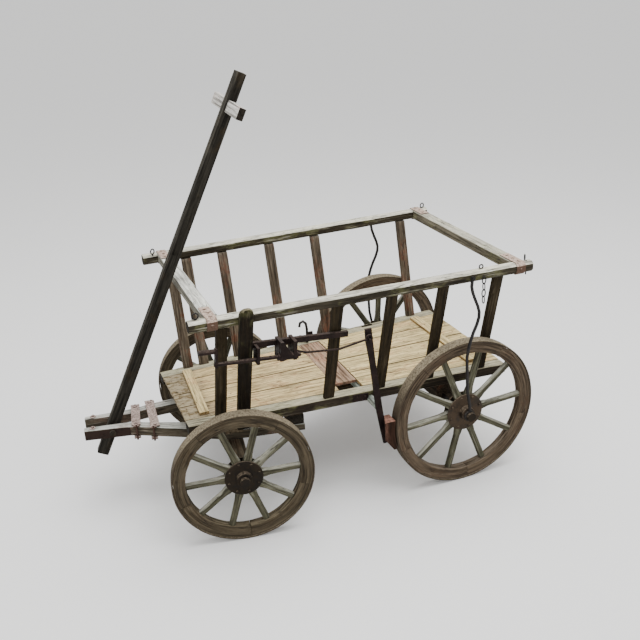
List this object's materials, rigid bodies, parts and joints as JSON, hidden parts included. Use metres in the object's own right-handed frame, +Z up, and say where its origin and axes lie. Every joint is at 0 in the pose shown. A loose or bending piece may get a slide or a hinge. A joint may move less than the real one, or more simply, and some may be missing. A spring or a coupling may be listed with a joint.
{
  "type": "weathered wooden ladder hand cart",
  "caption": "Old wooden ladder hand cart with spoked iron-tyred wheels, slatted sloping sides, plank floor, steered fork, raised towing pole and screw brake.",
  "frame": {"origin": "on the ground, under the middle of the cart's overall box", "axes": "+X towards the towing pole and the steered axle, +Y to the cart's left, the side of the brake crank, +Z up"},
  "size_m": [1.4022, 0.753, 1.3329],
  "materials": {
    "grey_wood": "weathered, dry and cracked",
    "dark_wood": "weathered, dark with age",
    "pale_wood": "weathered, pale and dry",
    "brown_wood": "weathered brown",
    "block_wood": "reddish, worn",
    "mint_wood": "bleached, faded paint",
    "worn_iron": "worn bright with rust",
    "dark_iron": "dark, rusted",
    "rusty_iron": "rusty"
  },
  "bodies": {
    "front_carriage": {"front_axle_beam": "brown_wood", "front_axle": "dark_iron", "carriage_bolster": "pale_wood", "left_fork_arm": "grey_wood", "right_fork_arm": "grey_wood", "slider_bar": "dark_wood", "front_fork_clip": "rusty_iron", "rear_fork_clip": "rusty_iron"},
    "towing_pole": {"pole": "dark_wood", "pole_handle": "mint_wood"},
    "brake_linkage": {"brake_shaft": "mint_wood", "left_brake_lever": "dark_iron", "right_brake_lever": "dark_iron", "left_brake_block": "block_wood", "right_brake_block": "block_wood"},
    "brake_screw": {"brake_crank": "dark_iron"},
    "brake_nut": {"brake_nut_and_rod": "dark_iron"},
    "front_left_wheel": {"front_left_tyre": "worn_iron", "front_left_felloes": "brown_wood", "front_left_spokes": "grey_wood"},
    "front_right_wheel": {"front_right_tyre": "worn_iron", "front_right_felloes": "brown_wood", "front_right_spokes": "grey_wood"},
    "rear_left_wheel": {"rear_left_tyre": "worn_iron", "rear_left_felloes": "brown_wood", "rear_left_spokes": "grey_wood"},
    "rear_right_wheel": {"rear_right_tyre": "worn_iron", "rear_right_felloes": "brown_wood", "rear_right_spokes": "grey_wood"},
    "cart_body": {"left_top_rail": "grey_wood", "left_lower_rail": "pale_wood", "left_stay_rod": "dark_iron", "right_top_rail": "grey_wood", "right_lower_rail": "pale_wood", "right_stay_rod": "dark_iron", "left_slat_1": "dark_wood", "left_slat_4": "dark_wood", "left_slat_5": "dark_wood", "left_slat_6": "dark_wood", "left_slat_7": "dark_wood", "right_slat_1": "dark_wood", "right_slat_2": "dark_wood", "right_slat_3": "dark_wood", "right_slat_4": "dark_wood", "right_slat_5": "dark_wood", "right_slat_7": "dark_wood", "left_stake": "dark_wood", "front_floor_planks": "pale_wood", "rear_floor_planks": "pale_wood", "middle_floor_board": "pale_wood", "front_top_crossbar": "grey_wood", "rear_top_crossbar": "pale_wood", "front_bolster": "brown_wood", "king_bolt": "dark_iron", "reach_pole": "brown_wood", "rear_axle_block": "dark_wood", "rear_axle": "dark_iron", "brake_guide_bar": "dark_iron", "hanging_chain": "dark_iron"}
  },
  "joints": [
    {"name": "steering", "type": "hinge", "parent": "cart_body", "child": "front_carriage", "pos_m": [0.24271, 0, 0.3], "axis": [0, 0, 1], "range_deg": [-7, 25]},
    {"name": "pole_lift", "type": "hinge", "parent": "front_carriage", "child": "towing_pole", "pos_m": [0.6081, -0.05826, 0.268], "axis": [0.1575, 0.9875, 0], "range_deg": [0, 74]},
    {"name": "front_left_spin", "type": "hinge", "parent": "front_carriage", "child": "front_left_wheel", "pos_m": [0.29373, 0.31996, 0.2134], "axis": [0.1575, 0.9875, 0], "continuous": true},
    {"name": "front_right_spin", "type": "hinge", "parent": "front_carriage", "child": "front_right_wheel", "pos_m": [0.19169, -0.31996, 0.2134], "axis": [0.1575, 0.9875, 0], "continuous": true},
    {"name": "rear_left_spin", "type": "hinge", "parent": "cart_body", "child": "rear_left_wheel", "pos_m": [-0.45109, 0.3214, 0.25], "axis": [0, 1, 0], "continuous": true},
    {"name": "rear_right_spin", "type": "hinge", "parent": "cart_body", "child": "rear_right_wheel", "pos_m": [-0.45109, -0.3214, 0.25], "axis": [0, 1, 0], "continuous": true},
    {"name": "brake_crank_turn", "type": "hinge", "parent": "cart_body", "child": "brake_screw", "pos_m": [0.22481, 0.334, 0.588], "axis": [0.9965, 0, 0.0837], "range_deg": [-1500, 0]},
    {"name": "brake_nut_slide", "type": "slide", "parent": "cart_body", "child": "brake_nut", "axis": [0.9965, 0, 0.0837], "range_m": [-0.0255, 0.0005]},
    {"name": "brake_shaft_turn", "type": "hinge", "parent": "cart_body", "child": "brake_linkage", "pos_m": [-0.16419, 0, 0.318], "axis": [0, 1, 0], "range_deg": [-5.9, 0.05]}
  ],
  "couplings": [
    {"joint": "brake_nut_slide", "follows": "brake_crank_turn", "m_per_rad": 0.00095493},
    {"joint": "brake_shaft_turn", "follows": "brake_crank_turn", "ratio": 0.0038977}
  ]
}
